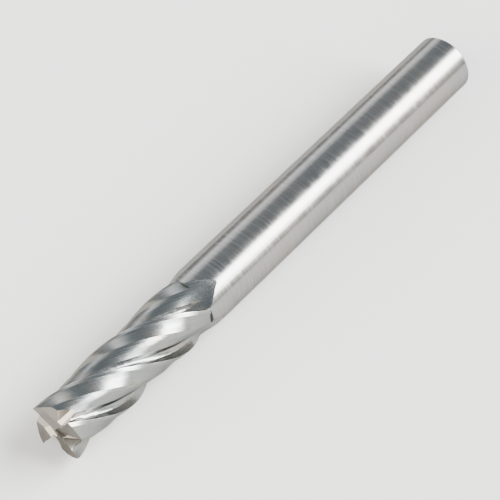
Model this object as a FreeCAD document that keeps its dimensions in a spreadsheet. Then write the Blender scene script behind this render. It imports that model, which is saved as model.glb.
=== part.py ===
import FreeCAD, Part
import math
import os

import Sketcher
from FreeCAD import Vector

# Solid four-flute end mill, square end, plain round shank. Millimetres.
# The tool lies along Y: the centre of the shank's end face is the origin, and the cutting
# end points to -Y. Angles about the axis run from +Z towards +X, which is the right-hand way
# round +Y, and the flutes advance that way towards the shank (right-hand helix).

SIZES = {
    "shank_dia": 6.35,
    "cutter_dia": 6.3,
    "overall_len": 63.5,
    "cut_len": 19.9,
    "shank_chamfer": 0.4,
    "flute_count": 4,
    "helix_deg": 30,
    "clock_deg": 31.4,
    "edge_lead": 0.02,
    "land_width": 0.45,
    "land_relief_deg": 12,
    "land_clearance_deg": 30,
    "end_dish_deg": 3,
    "end_land_width": 1.0,
    "end_relief_deg": 8,
    "end_clearance_deg": 16,
    "short_gash_start": 1.05,
    "long_gash_start": 0.42,
    "gash_slope_deg": 46,
    "gash_back_deg": 46,
    "gash_floor_width": 0.7,
    "gash_root_bevel": 0.22,
    "notch_depth": 0.2,
    "notch_slope_deg": 9,
    "notch_width": 0.75,
    "notch_back_deg": 30,
    "notch_overrun": 0.25,
    "centre_web": 0.12,
    "centre_relief": 0.08,
    "heel_deg": 23,
    "heel_out_deg": 12,
    "heel_out_ratio": 1.08,
    "shoulder_ratio": 0.925,
    "back_deg": 47,
    "back_ratio": 0.87,
    "ridge_deg": 67,
    "ridge_ratio": 0.75,
    "core_deg": 79.4,
    "core_ratio": 0.645,
    "root_deg": 4,
    "gullet_rise": 0.03,
    "rake_deg": 8,
    "rake_hook": 0.95,
    "rake_hook_power": 2.6,
    "exit_run": 2.6,
    "exit_lag": 2.4,
    "exit_lag_deg": 57,
    "exit_min_lift": 0.25,
}

doc = FreeCAD.newDocument("EndMill")

sheet = doc.addObject("Spreadsheet::Sheet", "Sizes")
for row, (alias, value) in enumerate(SIZES.items(), start=1):
    sheet.set("A%d" % row, alias)
    sheet.set("B%d" % row, str(value))
    sheet.setAlias("B%d" % row, alias)
doc.recompute()

# Expressions shared by several features.
LEAD = "(pi * Sizes.cutter_dia / tan(Sizes.helix_deg * 1deg))"
TIP_Y = "(-Sizes.overall_len)"
RADIUS = "(Sizes.cutter_dia / 2)"
REACH = "(0.75 * Sizes.cutter_dia)"
LEAD_IN = 1.0
SMALLEST_CUT = 0.2


def origin_feature(body, role):
    """Return one of the body's own origin planes or axes by its role."""
    for feature in body.Origin.OriginFeatures:
        if feature.Role == role:
            return feature
    raise RuntimeError("no origin feature " + role)


def number(owner, text):
    """Work out an expression of the document as a plain number."""
    value = owner.evalExpression(text)
    return float(getattr(value, "Value", value))


def polygon_sketch(body, name, plane, corners):
    """Add a closed polygon on an origin plane; each corner is an x and a y expression."""
    sketch = body.newObject("Sketcher::SketchObject", name)
    sketch.AttachmentSupport = [(origin_feature(body, plane), "")]
    sketch.MapMode = "FlatFace"
    points = [Vector(number(sketch, x), number(sketch, y), 0) for x, y in corners]
    count = len(points)
    for i in range(count):
        sketch.addGeometry(Part.LineSegment(points[i], points[(i + 1) % count]), False)
    for i in range(count):
        sketch.addConstraint(Sketcher.Constraint("Coincident", i, 2, (i + 1) % count, 1))
    for i, (x, y) in enumerate(corners):
        for kind, text, value in (("DistanceX", x, points[i].x), ("DistanceY", y, points[i].y)):
            index = sketch.addConstraint(Sketcher.Constraint(kind, -1, 1, i, 1, value))
            sketch.setExpression("Constraints[%d]" % index, text)
    return sketch


def ring(body, feature, count="Sizes.flute_count"):
    """Repeat a feature about the tool axis, once for each flute unless told otherwise."""
    doc.recompute()
    polar = body.newObject("PartDesign::PolarPattern", feature.Name + "Ring")
    polar.Originals = [feature]
    polar.Axis = (origin_feature(body, "Y_Axis"), [""])
    polar.Angle = 360
    polar.setExpression("Occurrences", count)
    polar.Refine = False
    body.Tip = polar
    doc.recompute()
    return polar


def cut_outwards(body, sketch, name, slope, turn="0"):
    """Pocket a profile outwards from the axis, leaning by slope degrees towards +Y.

    Outwards is +Z, or +Z turned about Y by so many degrees; the profile turns with it.
    """
    sketch.AttachmentOffset.Rotation.Axis = Vector(0, 1, 0)
    sketch.setExpression("AttachmentOffset.Rotation.Angle", "%s * 1deg" % turn)
    pocket = body.newObject("PartDesign::Pocket", name)
    pocket.Profile = sketch
    pocket.UseCustomVector = True
    pocket.AlongSketchNormal = False
    pocket.Direction = Vector(0, 0, 1)
    pocket.setExpression("Direction.x", "cos(%s * 1deg) * sin(%s * 1deg)" % (slope, turn))
    pocket.setExpression("Direction.y", "sin(%s * 1deg)" % slope)
    pocket.setExpression("Direction.z", "cos(%s * 1deg) * cos(%s * 1deg)" % (slope, turn))
    pocket.setExpression("Length", "2 * Sizes.cutter_dia")
    return pocket


# ---- Blank: the rod with its end teeth ground ------------------------------------------------
# In the body's own frame the end teeth lie along +Z, +X, -Z and -X.

blank = doc.addObject("PartDesign::Body", "Blank")

rod_profile = polygon_sketch(blank, "RodProfile", "XY_Plane", [
    ("0", TIP_Y),
    (RADIUS, TIP_Y),
    (RADIUS, TIP_Y + " + Sizes.cut_len"),
    ("Sizes.shank_dia / 2", TIP_Y + " + Sizes.cut_len"),
    ("Sizes.shank_dia / 2", "-Sizes.shank_chamfer"),
    ("Sizes.shank_dia / 2 - Sizes.shank_chamfer", "0"),
    ("0", "0"),
])
rod = blank.newObject("PartDesign::Revolution", "Rod")
rod.Profile = rod_profile
rod.ReferenceAxis = (origin_feature(blank, "Y_Axis"), [""])
rod.Angle = 360
doc.recompute()
volumes = [rod.Shape.Volume]

# Relief behind each end tooth: a narrow land and then a steeper clearance fall away from the
# edge, which dips towards the axis.
EDGE_Y = "(%s + %s * tan(Sizes.end_dish_deg * 1deg))" % (TIP_Y, RADIUS)
END_LAND_Y = "(%s + Sizes.end_land_width * tan(Sizes.end_relief_deg * 1deg))" % EDGE_Y
END_HEEL_DROP = "(%s - Sizes.end_land_width) * tan(Sizes.end_clearance_deg * 1deg)" % REACH
end_relief_profile = polygon_sketch(blank, "EndReliefProfile", "XY_Plane", [
    ("0", EDGE_Y),
    ("Sizes.end_land_width", END_LAND_Y),
    (REACH, END_LAND_Y + " + " + END_HEEL_DROP),
    (REACH, TIP_Y + " - Sizes.cutter_dia"),
    ("0", TIP_Y + " - Sizes.cutter_dia"),
])
end_relief = cut_outwards(blank, end_relief_profile, "EndRelief", "-Sizes.end_dish_deg")
volumes.append(ring(blank, end_relief).Shape.Volume)

# Gash in front of each end tooth: an upright rake wall under the edge, a bevelled root, a flat
# floor and a back wall that rises away from it. The floor starts short of the axis and runs
# out downhill. Opposite teeth are alike; one pair is gashed closer to the axis.
PAIR = "Sizes.flute_count / 2"
PITCH_DEG = "(360 / Sizes.flute_count)"
for pair, start, turn in (("Short", "Sizes.short_gash_start", "0"),
                          ("Long", "Sizes.long_gash_start", PITCH_DEG)):
    floor_y = "(%s - %s * tan(Sizes.gash_slope_deg * 1deg))" % (EDGE_Y, start)
    top_y = floor_y + " - 2 * Sizes.cutter_dia"
    back_rise = "(%s - Sizes.gash_floor_width) * tan(Sizes.gash_back_deg * 1deg)" % REACH
    profile = polygon_sketch(blank, pair + "GashProfile", "XY_Plane", [
        ("0", floor_y + " - Sizes.gash_root_bevel"),
        ("0", top_y),
        ("-" + REACH, top_y),
        ("-" + REACH, floor_y + " - " + back_rise),
        ("-Sizes.gash_floor_width", floor_y),
        ("-Sizes.gash_root_bevel", floor_y),
    ])
    gash = cut_outwards(blank, profile, pair + "Gash", "Sizes.gash_slope_deg", turn)
    volumes.append(ring(blank, gash, PAIR).Shape.Volume)

# A shallow notch in front of each long tooth carries its edge just past the axis; a thin web
# is left standing between the two notches.
NOTCH_Y = "(%s + Sizes.notch_depth)" % EDGE_Y
NOTCH_BACK = "(%s - Sizes.notch_width) * tan(Sizes.notch_back_deg * 1deg)" % REACH
notch_profile = polygon_sketch(blank, "NotchProfile", "XY_Plane", [
    ("-Sizes.centre_web / 2", NOTCH_Y),
    ("-Sizes.centre_web / 2", TIP_Y + " - Sizes.cutter_dia"),
    ("-" + REACH, TIP_Y + " - Sizes.cutter_dia"),
    ("-" + REACH, NOTCH_Y + " - " + NOTCH_BACK),
    ("-Sizes.notch_width", NOTCH_Y),
])
notch = cut_outwards(blank, notch_profile, "Notch", "Sizes.notch_slope_deg", PITCH_DEG)
notch_profile.setExpression("AttachmentOffset.Base.x", "-Sizes.notch_overrun")
volumes.append(ring(blank, notch, PAIR).Shape.Volume)

# Small pointed relief on the axis, where the four end edges would otherwise meet.
centre_profile = polygon_sketch(blank, "CentreProfile", "XY_Plane", [
    ("0", EDGE_Y + " + 2 * Sizes.centre_relief"),
    ("2 * Sizes.centre_relief", EDGE_Y + " - 2 * Sizes.centre_relief"),
    ("0", EDGE_Y + " - 2 * Sizes.centre_relief"),
])
centre = blank.newObject("PartDesign::Groove", "CentreRelief")
centre.Profile = centre_profile
centre.ReferenceAxis = (origin_feature(blank, "Y_Axis"), [""])
centre.Angle = 360
blank.Tip = centre
doc.recompute()
if centre.Shape.Volume >= volumes[-1]:
    raise RuntimeError("the centre relief removed nothing")

# ---- Flutes: one solid for each, the shape its wheel sweeps out ---------------------------------
# A flute fades out at its shank end along a slanted front, so no helix or pipe of one profile
# makes it. It is a loft through cross-sections that turn with the helix and lift at the exit.

tip_radius = sheet.cutter_dia / 2
lead = number(sheet, LEAD)
core_ratio = sheet.core_ratio
OUTSIDE = 1.7
RUN_OFF = 1.8

# Points of a cross-section as (radius / tool radius, degrees ahead of the cutting edge). The
# back of the tooth in front comes down from its heel to a soft ridge, and the gullet runs from
# the ridge round the core and up the rake face.
pitch_deg = 360 / sheet.flute_count
heel_deg = pitch_deg - sheet.heel_deg
back_deg = pitch_deg - sheet.back_deg
ridge_deg = pitch_deg - sheet.ridge_deg
core_deg = pitch_deg - sheet.core_deg


def rake_point(ratio):
    """Point on the rake face: straight at the rake angle by the edge, hooking to the core."""
    depth = 1 - ratio
    straight = depth * math.tan(math.radians(sheet.rake_deg))
    hook = sheet.rake_hook * max(depth, 0) ** sheet.rake_hook_power
    return (ratio, -math.degrees(math.atan2(straight - hook, ratio)))


back_face = [
    (sheet.heel_out_ratio, heel_deg + sheet.heel_out_deg),
    (1, heel_deg),
    (sheet.shoulder_ratio, (heel_deg + back_deg) / 2),
    (sheet.back_ratio, back_deg),
    ((sheet.back_ratio + sheet.ridge_ratio) / 2, (back_deg + ridge_deg) / 2),
    (sheet.ridge_ratio, ridge_deg),
]
gullet_face = [
    (sheet.ridge_ratio, ridge_deg),
    (core_ratio + sheet.gullet_rise, (ridge_deg + core_deg) / 2),
    (core_ratio, core_deg),
    (core_ratio + sheet.gullet_rise, sheet.root_deg),
    rake_point(0.73),
    rake_point(0.80),
    rake_point(0.90),
    rake_point(1.0),
    rake_point(1.1),
]


def exit_lift(ratio, ahead, station):
    """Outward shift of a point of the cross-section at a distance from the tip.

    The lift grows with the square of the travel through the run-out, which starts later at
    the heel side of the flute than at the cutting edge.
    """
    lag = sheet.exit_lag * min(max(ahead / sheet.exit_lag_deg, 0), 1)
    travel = max(0, station - sheet.cut_len - lag + sheet.exit_run) / sheet.exit_run
    deepest = 1 - (core_ratio if ahead <= core_deg else min(ratio, 1))
    return max(deepest * tip_radius, sheet.exit_min_lift) * travel ** 2


def flute_point(ratio, ahead, station):
    """Place a point of the cross-section at a distance from the tip."""
    radius = ratio * tip_radius + exit_lift(ratio, ahead, station)
    angle = math.radians(360 * station / lead - ahead)
    return Vector(radius * math.sin(angle), station - sheet.overall_len, radius * math.cos(angle))


def smooth_edge(points, section):
    """Smooth edge through the points, with the same knots at every station."""
    marks = [0]
    for (r1, a1), (r2, a2) in zip(section, section[1:]):
        step = math.sqrt(r1 ** 2 + r2 ** 2 - 2 * r1 * r2 * math.cos(math.radians(a1 - a2)))
        marks.append(marks[-1] + step)
    curve = Part.BSplineCurve()
    curve.interpolate(Points=points, Parameters=marks)
    return curve.toShape()


def flute_section(station):
    """Closed outline of a flute across the axis, reaching well outside the rod."""
    back = [flute_point(ratio, ahead, station) for ratio, ahead in back_face]
    gullet = [flute_point(ratio, ahead, station) for ratio, ahead in gullet_face]
    rake_out = flute_point(OUTSIDE, gullet_face[-1][1], station)
    heel_out = flute_point(OUTSIDE, back_face[0][1], station)
    return Part.Wire([
        smooth_edge(back, back_face),
        smooth_edge(gullet, gullet_face),
        Part.makeLine(gullet[-1], rake_out),
        Part.makeLine(rake_out, heel_out),
        Part.makeLine(heel_out, back[0]),
    ])


exit_start = sheet.cut_len - sheet.exit_run
exit_end = sheet.cut_len + sheet.exit_lag + RUN_OFF
helix_steps = 18
exit_steps = 26
stations = [-LEAD_IN + i * (exit_start + LEAD_IN) / helix_steps for i in range(helix_steps)]
stations += [exit_start + i * (exit_end - exit_start) / exit_steps for i in range(exit_steps + 1)]
flute_shape = Part.makeLoft([flute_section(s) for s in stations], True, False, False, 5)

flutes = []
for i in range(int(sheet.flute_count)):
    flute = doc.addObject("Part::Feature", "Flute%d" % (i + 1))
    flute.Shape = flute_shape
    flute.Placement.Rotation.Axis = Vector(0, 1, 0)
    flute.setExpression("Placement.Rotation.Angle", "%d * 360deg / Sizes.flute_count" % i)
    flutes.append(flute)

flute_set = doc.addObject("Part::Compound", "Flutes")
flute_set.Links = flutes

fluted = doc.addObject("Part::Cut", "Fluted")
fluted.Base = blank
fluted.Tool = flute_set
doc.recompute()
volumes.append(fluted.Shape.Volume)

# ---- Finished tool: radial relief, then turned to its resting angle ------------------------------

end_mill = doc.addObject("PartDesign::Body", "EndMill")
end_mill.Label = "end_mill"
end_mill.BaseFeature = fluted
doc.recompute()

# Radial relief behind each cutting edge: a narrow land that starts a hair in front of the
# edge, so that no round margin is left, and then a steeper clearance. They follow the helix
# and end in a small step at the cutting length.
LAND_X = "(Sizes.land_width * cos(Sizes.land_relief_deg * 1deg))"
LAND_Z = "(%s - Sizes.land_width * sin(Sizes.land_relief_deg * 1deg))" % RADIUS
HEEL_DROP = "(%s - %s) * tan(Sizes.land_clearance_deg * 1deg)" % (REACH, LAND_X)
relief_profile = polygon_sketch(end_mill, "ReliefProfile", "XZ_Plane", [
    ("-Sizes.land_width", RADIUS + " + Sizes.land_width * tan(Sizes.land_relief_deg * 1deg)"),
    (LAND_X, LAND_Z),
    (REACH, LAND_Z + " - " + HEEL_DROP),
    (REACH, REACH),
    ("-Sizes.land_width", REACH),
])
relief_profile.setExpression("AttachmentOffset.Base.z", "Sizes.overall_len + %s" % LEAD_IN)
EDGE_LEAD_ANGLE = "(180deg / pi * Sizes.edge_lead / %s)" % RADIUS
relief_profile.setExpression("AttachmentOffset.Rotation.Angle",
                             "360deg * %s / %s + %s" % (LEAD_IN, LEAD, EDGE_LEAD_ANGLE))
relief = end_mill.newObject("PartDesign::SubtractiveHelix", "Relief")
relief.Profile = relief_profile
relief.ReferenceAxis = (origin_feature(end_mill, "Y_Axis"), [""])
relief.Mode = "pitch-height-angle"
relief.setExpression("Pitch", LEAD)
relief.setExpression("Height", "Sizes.cut_len + %s" % LEAD_IN)
volumes.append(ring(end_mill, relief).Shape.Volume)

end_mill.Placement.Rotation.Axis = Vector(0, 1, 0)
end_mill.setExpression("Placement.Rotation.Angle", "Sizes.clock_deg * 1deg")
doc.recompute()

for obj in doc.Objects:
    if {"Invalid", "Error"} & set(obj.State):
        raise RuntimeError("%s did not recompute: %s" % (obj.Label, obj.State))
if end_mill.Shape.isNull() or not end_mill.Shape.isValid() or len(end_mill.Shape.Solids) != 1:
    raise RuntimeError("end_mill is not one valid solid")
for before, after in zip(volumes, volumes[1:]):
    if after > before - SMALLEST_CUT:
        raise RuntimeError("a cut removed nothing: %.3f to %.3f" % (before, after))

os.makedirs("parts", exist_ok=True)
end_mill.Shape.exportStep("parts/%s.step" % end_mill.Label)
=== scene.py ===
import math

import bpy
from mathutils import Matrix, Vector


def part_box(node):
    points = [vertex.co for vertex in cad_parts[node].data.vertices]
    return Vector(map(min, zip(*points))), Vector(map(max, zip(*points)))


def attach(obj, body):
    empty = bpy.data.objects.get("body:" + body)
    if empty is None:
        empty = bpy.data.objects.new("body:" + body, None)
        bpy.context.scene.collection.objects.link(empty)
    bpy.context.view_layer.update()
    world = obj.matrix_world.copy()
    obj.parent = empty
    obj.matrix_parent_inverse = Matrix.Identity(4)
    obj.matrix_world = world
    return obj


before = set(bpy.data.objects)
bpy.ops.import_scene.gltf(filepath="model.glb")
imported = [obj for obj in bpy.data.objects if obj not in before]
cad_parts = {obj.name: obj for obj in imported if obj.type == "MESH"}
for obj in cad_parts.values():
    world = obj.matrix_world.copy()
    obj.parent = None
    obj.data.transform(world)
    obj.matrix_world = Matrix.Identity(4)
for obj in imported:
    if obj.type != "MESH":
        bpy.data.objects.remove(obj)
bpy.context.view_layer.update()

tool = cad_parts["end_mill"]
low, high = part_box("end_mill")
RADIUS = 0.5 * (high.x - low.x)
TIP_Y = low.y
CUT_LENGTH = 0.0199
CUTTER_DIAMETER = 0.0063
LEAD = math.pi * CUTTER_DIAMETER / math.tan(math.radians(30))
# Where one cutting edge meets the tip, from +Z towards +X, and the angle between edges.
EDGE_CLOCK = math.radians(31.4)
EDGE_PITCH = math.pi / 2


# ---- Camera --------------------------------------------------------------------------------------
# Long lens, level horizon; the tool runs up to the right across the frame.

AIM = Vector((0, TIP_Y + 0.02975, 0))
AZIMUTH = math.radians(37.3)
ELEVATION = math.radians(46.7)
DISTANCE = 0.2888
LENS_MM = 211.5
SENSOR_MM = 36
SHIFT_Y = -0.004

toward = Vector((math.sin(AZIMUTH) * math.cos(ELEVATION),
                 -math.cos(AZIMUTH) * math.cos(ELEVATION),
                 math.sin(ELEVATION)))


def add_camera():
    data = bpy.data.cameras.new("camera")
    data.lens = LENS_MM
    data.sensor_width = SENSOR_MM
    data.clip_start = 0.001
    data.shift_y = SHIFT_Y
    camera = bpy.data.objects.new("camera", data)
    bpy.context.scene.collection.objects.link(camera)
    camera.location = AIM + toward * DISTANCE
    camera.rotation_euler = toward.to_track_quat("Z", "Y").to_euler()
    bpy.context.scene.camera = camera


# ---- Node helpers --------------------------------------------------------------------------------

class Graph:
    """Short calls for building one node tree."""

    def __init__(self, tree):
        self.tree = tree

    def plug(self, value, socket):
        """Link an output to a socket, or set the socket to a plain value."""
        if isinstance(value, bpy.types.NodeSocket):
            self.tree.links.new(value, socket)
        else:
            socket.default_value = value

    def math(self, operation, first, second=0.0):
        node = self.tree.nodes.new("ShaderNodeMath")
        node.operation = operation
        self.plug(first, node.inputs[0])
        self.plug(second, node.inputs[1])
        return node.outputs[0]

    def add(self, first, second):
        return self.math("ADD", first, second)

    def subtract(self, first, second):
        return self.math("SUBTRACT", first, second)

    def multiply(self, first, second):
        return self.math("MULTIPLY", first, second)

    def vector(self, x, y, z):
        node = self.tree.nodes.new("ShaderNodeCombineXYZ")
        for value, socket in zip((x, y, z), node.inputs):
            self.plug(value, socket)
        return node.outputs[0]

    def split(self, value):
        node = self.tree.nodes.new("ShaderNodeSeparateXYZ")
        self.plug(value, node.inputs[0])
        return node.outputs

    def coordinates(self, kind):
        return self.tree.nodes.new("ShaderNodeTexCoord").outputs[kind]

    def noise(self, vector, scale=1.0, detail=2.0, roughness=0.5):
        node = self.tree.nodes.new("ShaderNodeTexNoise")
        self.plug(vector, node.inputs["Vector"])
        node.inputs["Scale"].default_value = scale
        node.inputs["Detail"].default_value = detail
        node.inputs["Roughness"].default_value = roughness
        return node.outputs["Fac"]

    def step(self, value, start, end, first=0.0, last=1.0):
        """Smooth change from first to last as the value goes from start to end."""
        node = self.tree.nodes.new("ShaderNodeMapRange")
        node.interpolation_type = "SMOOTHSTEP"
        self.plug(value, node.inputs["Value"])
        numbers = {"From Min": start, "From Max": end, "To Min": first, "To Max": last}
        for name, number in numbers.items():
            node.inputs[name].default_value = number
        return node.outputs["Result"]

    def mix(self, kind, factor, first, second):
        node = self.tree.nodes.new("ShaderNodeMix")
        node.data_type = kind
        self.plug(factor, node.inputs["Factor"])
        self.plug(first, node.inputs["A"])
        self.plug(second, node.inputs["B"])
        return node.outputs["Result"]

    def blend(self, factor, first, second):
        """Blend two colours."""
        return self.mix("RGBA", factor, first, second)

    def between(self, factor, first, second):
        """Blend two numbers."""
        return self.mix("FLOAT", factor, first, second)


# ---- Ground tool material ------------------------------------------------------------------------
# One rod, ground in four ways: rings round the shank, streaks along the flutes, a finer grind on
# the narrow lands and a matte, slightly warm grind on the end teeth.

SHANK_GREY = (0.235, 0.233, 0.228, 1)
SHANK_WARM = (0.265, 0.250, 0.235, 1)
RING_BRIGHT = (0.34, 0.34, 0.345, 1)
FLUTE_GREY = (0.245, 0.243, 0.23, 1)
FLUTE_COOL = (0.185, 0.205, 0.21, 1)
FLUTE_WARM = (0.28, 0.265, 0.235, 1)
STREAK_BRIGHT = (0.27, 0.28, 0.29, 1)
END_TAN = (0.215, 0.195, 0.172, 1)
END_GREY = (0.165, 0.157, 0.148, 1)
END_BRIGHT = (0.26, 0.25, 0.235, 1)
# Pale cream on the leaning gash faces: a painted highlight.
GASH_PAINTED_HIGHLIGHT = (0.52, 0.465, 0.40, 1)
# Bright line along the cutting edges: wear and a painted highlight.
EDGE_WEAR_AND_HIGHLIGHT = (0.60, 0.59, 0.57, 1)
# Metal colour at a grazing angle, relative to the base colour.
EDGE_TINT = (0.45, 0.44, 0.42, 1)
RELIEF_STRENGTH = 0.35
RELIEF_HEIGHT = 0.000012


class ToolSurface:
    """Places on the tool, as masks from 0 to 1, and the grinding marks."""

    def __init__(self, g):
        position = g.coordinates("Object")
        x, y, z = g.split(position)
        along = g.subtract(y, TIP_Y)
        radius = g.math("SQRT", g.add(g.multiply(x, x), g.multiply(z, z)))
        angle = g.math("ARCTAN2", x, z)
        # The angle measured from a line that winds with the helix, and the angle behind an edge.
        turn = g.subtract(g.subtract(angle, EDGE_CLOCK), g.multiply(along, 2 * math.pi / LEAD))
        behind = g.math("FLOORED_MODULO", turn, EDGE_PITCH)

        # How a face looks along Y: -1 is straight out of the cutting end.
        geometry = g.tree.nodes.new("ShaderNodeNewGeometry")
        self.facing = g.split(geometry.outputs["True Normal"])[1]
        self.end_face = g.multiply(g.step(along, 0.0030, 0.0024), g.step(self.facing, -0.42, -0.52))
        self.shank = g.multiply(g.step(along, CUT_LENGTH - 0.0001, CUT_LENGTH + 0.0001),
                                g.step(radius, RADIUS * 0.994, RADIUS * 0.999))
        self.land = g.multiply(g.step(radius, RADIUS * 0.955, RADIUS * 0.985),
                               g.subtract(1.0, self.shank))

        # Each mark is noise stretched by its scales: per radian round the tool, per metre along it.
        self.rings = g.noise(g.vector(g.multiply(angle, 0.9), g.multiply(along, 4200.0), 0.0),
                             1.0, 4.0, 0.7)
        self.ring_bands = g.noise(g.vector(g.multiply(angle, 0.2), g.multiply(along, 700.0), 3.0))
        self.streaks = g.noise(g.vector(g.multiply(turn, 26.0), g.multiply(along, 150.0),
                                        g.multiply(radius, 9000.0)), 1.0, 4.0, 0.6)
        self.fine_streaks = g.noise(g.vector(g.multiply(turn, 90.0), g.multiply(along, 260.0),
                                             g.multiply(radius, 26000.0)))
        self.end_marks = g.noise(g.vector(g.multiply(x, 5200.0), g.multiply(y, 5200.0),
                                          g.multiply(z, 26000.0)), 1.0, 3.0, 0.6)
        self.blotches = g.noise(position, 420.0, 3.0, 0.55)
        self.broad = g.noise(position, 60.0)

        # Worn line along each cutting edge, painted brighter as a highlight, on the body only and
        # broken up along its length.
        edge_breakup = g.noise(g.vector(0.0, g.multiply(along, 1600.0), turn))
        line = g.multiply(g.step(behind, 0.030, 0.012), g.step(radius, RADIUS * 0.972, RADIUS * 0.986))
        line = g.multiply(line, g.step(along, CUT_LENGTH + 0.0002, CUT_LENGTH))
        self.edge_wear_and_highlight = g.multiply(line, g.step(edge_breakup, 0.35, 0.6, 0.25, 0.8))


def tool_colour(g, on):
    shank = g.blend(g.step(on.broad, 0.42, 0.66), SHANK_GREY, SHANK_WARM)
    shank = g.blend(g.step(on.rings, 0.40, 0.68, 0.0, 0.5), shank, RING_BRIGHT)
    flute = g.blend(g.step(on.streaks, 0.40, 0.62), FLUTE_GREY, FLUTE_COOL)
    flute = g.blend(g.step(on.blotches, 0.48, 0.68, 0.0, 0.75), flute, FLUTE_WARM)
    flute = g.blend(g.step(on.fine_streaks, 0.50, 0.75, 0.0, 0.35), flute, STREAK_BRIGHT)
    end = g.blend(g.step(on.blotches, 0.38, 0.64), END_TAN, END_GREY)
    end = g.blend(g.step(on.end_marks, 0.45, 0.75, 0.0, 0.4), end, END_BRIGHT)
    # The gashes lean back from the end; by that lean they get a paler cream colour, a painted
    # highlight.
    end = g.blend(g.step(on.facing, -0.90, -0.80, 0.0, 0.85), end, GASH_PAINTED_HIGHLIGHT)
    colour = g.blend(on.shank, flute, shank)
    colour = g.blend(on.end_face, colour, end)
    # Wear and a painted highlight along the cutting edges.
    return g.blend(on.edge_wear_and_highlight, colour, EDGE_WEAR_AND_HIGHLIGHT)


def tool_roughness(g, on):
    shank = g.add(g.step(on.ring_bands, 0.3, 0.7, 0.13, 0.21), g.step(on.rings, 0.3, 0.8, 0.0, 0.08))
    flute = g.add(g.step(on.streaks, 0.3, 0.7, 0.17, 0.25),
                  g.step(on.fine_streaks, 0.4, 0.8, 0.0, 0.07))
    land = g.step(on.fine_streaks, 0.3, 0.7, 0.20, 0.32)
    end = g.step(on.end_marks, 0.3, 0.7, 0.34, 0.50)
    rough = g.between(on.land, flute, land)
    rough = g.between(on.shank, rough, shank)
    return g.between(on.end_face, rough, end)


def tool_relief(g, on):
    flute = g.add(g.multiply(on.streaks, 0.38), g.multiply(on.fine_streaks, 0.28))
    shank = g.add(g.multiply(on.rings, 1.1), g.multiply(on.ring_bands, 0.4))
    height = g.between(on.shank, flute, shank)
    height = g.between(on.end_face, height, g.multiply(on.end_marks, 0.9))
    bump = g.tree.nodes.new("ShaderNodeBump")
    bump.inputs["Strength"].default_value = RELIEF_STRENGTH
    bump.inputs["Distance"].default_value = RELIEF_HEIGHT
    g.plug(height, bump.inputs["Height"])
    return bump.outputs["Normal"]


def tool_material():
    material = bpy.data.materials.new("ground_tool")
    material.use_nodes = True
    g = Graph(material.node_tree)
    shader = material.node_tree.nodes["Principled BSDF"]
    on = ToolSurface(g)
    g.plug(tool_colour(g, on), shader.inputs["Base Color"])
    g.plug(tool_roughness(g, on), shader.inputs["Roughness"])
    g.plug(tool_relief(g, on), shader.inputs["Normal"])
    shader.inputs["Metallic"].default_value = 1.0
    shader.inputs["Specular Tint"].default_value = EDGE_TINT
    return material


# ---- Floor ---------------------------------------------------------------------------------------

FLOOR_DARK = (0.70, 0.70, 0.695, 1)
FLOOR_LIGHT = (0.73, 0.73, 0.73, 1)
FLOOR_SIZE = 3
FLOOR_GAP = 0.0002


def floor_material():
    material = bpy.data.materials.new("floor")
    material.use_nodes = True
    g = Graph(material.node_tree)
    shader = material.node_tree.nodes["Principled BSDF"]
    mottle = g.noise(g.coordinates("Object"), 9.0)
    g.plug(g.blend(mottle, FLOOR_DARK, FLOOR_LIGHT), shader.inputs["Base Color"])
    shader.inputs["Roughness"].default_value = 0.9
    shader.inputs["Specular IOR Level"].default_value = 0.2
    return material


def add_floor():
    bpy.ops.mesh.primitive_plane_add(size=FLOOR_SIZE, location=(0, -0.03, low.z - FLOOR_GAP))
    floor = bpy.context.object
    floor.name = "floor"
    floor.data.materials.append(floor_material())
    return floor


# ---- Studio dome ---------------------------------------------------------------------------------
# The half of the dome beyond the shank has soft bands parallel to the tool. Each row is an angle
# about the Y axis, in degrees, and the brightness there. The angle starts at the camera's own
# direction, seen along the tool, and grows towards +X and down.

BANDS = [
    (-180, (1.0, 1.0, 1.0)),
    (-128, (0.8, 0.8, 0.8)),
    (-116, (0.75, 0.76, 0.77)),
    (-102, (0.95, 0.98, 1.0)),
    (-92, (3.6, 3.65, 3.7)),
    (-80, (2.2, 2.25, 2.3)),
    (-68, (0.62, 0.68, 0.73)),
    (-40, (0.50, 0.555, 0.60)),
    (-16, (0.46, 0.51, 0.55)),
    (-5, (1.4, 1.5, 1.6)),
    (2, (34.0, 34.0, 34.0)),
    (26, (34.0, 34.0, 33.5)),
    (36, (3.2, 3.15, 3.0)),
    (50, (1.2, 1.17, 1.08)),
    (75, (0.9, 0.87, 0.80)),
    (180, (1.0, 1.0, 1.0)),
]
PEAK = 34.0
# How far the bands lean over the depth of the dome, and the depth at which they stand as listed.
BAND_LEAN = math.radians(60)
BAND_DEPTH = 0.55
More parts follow.
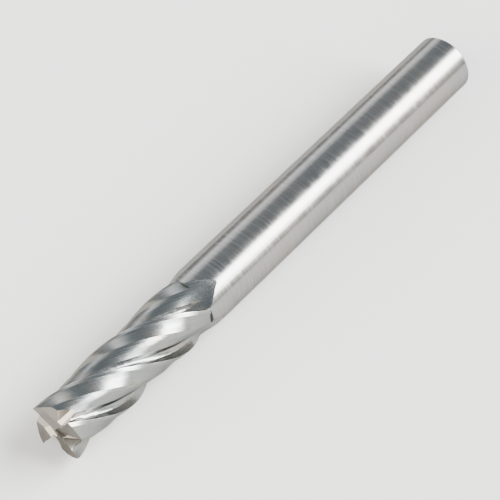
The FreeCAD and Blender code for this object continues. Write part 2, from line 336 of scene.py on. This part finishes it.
# The front of the dome is dark round the camera, pale on the left and warm on the right. It is
# bright only straight ahead of the tip.
FRONT_DARK = (0.42, 0.48, 0.53)
FRONT_RIGHT = (1.1, 1.07, 1.0)
FRONT_LEFT = (1.8, 1.85, 1.9)
AHEAD = (9.0, 8.4, 7.5)
# Low behind the tool, where the bands would all meet, the dome is plain.
LOW_BEHIND = (1.8, 1.8, 1.8)


def sky_colour(brightness):
    """A brightness as a colour that the dome's strength brings back to its full value."""
    return (*[channel / PEAK for channel in brightness], 1)


def band_ramp(tree):
    ramp = tree.nodes.new("ShaderNodeValToRGB")
    elements = ramp.color_ramp.elements
    elements.remove(elements[-1])
    for i, (degrees, brightness) in enumerate(BANDS):
        place = 0.5 + degrees / 360
        element = elements[0] if i == 0 else elements.new(place)
        element.position = place
        element.color = sky_colour(brightness)
    return ramp


def add_studio():
    world = bpy.data.worlds.new("studio")
    bpy.context.scene.world = world
    world.use_nodes = True
    g = Graph(world.node_tree)
    background = world.node_tree.nodes["Background"]
    x, y, z = g.split(g.coordinates("Generated"))
    upward = Vector((toward.x, 0, toward.z)).normalized()
    up = g.add(g.multiply(x, upward.x), g.multiply(z, upward.z))
    side = g.subtract(g.multiply(x, upward.z), g.multiply(z, upward.x))
    turn = g.math("ARCTAN2", side, up)

    leaning_turn = g.add(turn, g.multiply(g.subtract(y, BAND_DEPTH), BAND_LEAN))
    ramp = band_ramp(world.node_tree)
    g.plug(g.add(g.multiply(leaning_turn, 0.5 / math.pi), 0.5), ramp.inputs["Fac"])

    front = g.blend(g.step(turn, 0.35, 0.9), sky_colour(FRONT_DARK), sky_colour(FRONT_RIGHT))
    front = g.blend(g.step(turn, -1.1, -1.6), front, sky_colour(FRONT_LEFT))
    front = g.blend(g.step(y, -0.60, -0.72), front, sky_colour(AHEAD))
    dome = g.blend(g.step(y, 0.27, 0.14), ramp.outputs["Color"], front)
    low_behind = g.multiply(g.step(y, 0.80, 0.90), g.step(z, 0.42, 0.28))
    dome = g.blend(low_behind, dome, sky_colour(LOW_BEHIND))
    g.plug(dome, background.inputs["Color"])
    background.inputs["Strength"].default_value = PEAK


# ---- Scene ---------------------------------------------------------------------------------------

add_camera()
tool.data.materials[0] = tool_material()
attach(tool, "root")
add_studio()
add_floor()
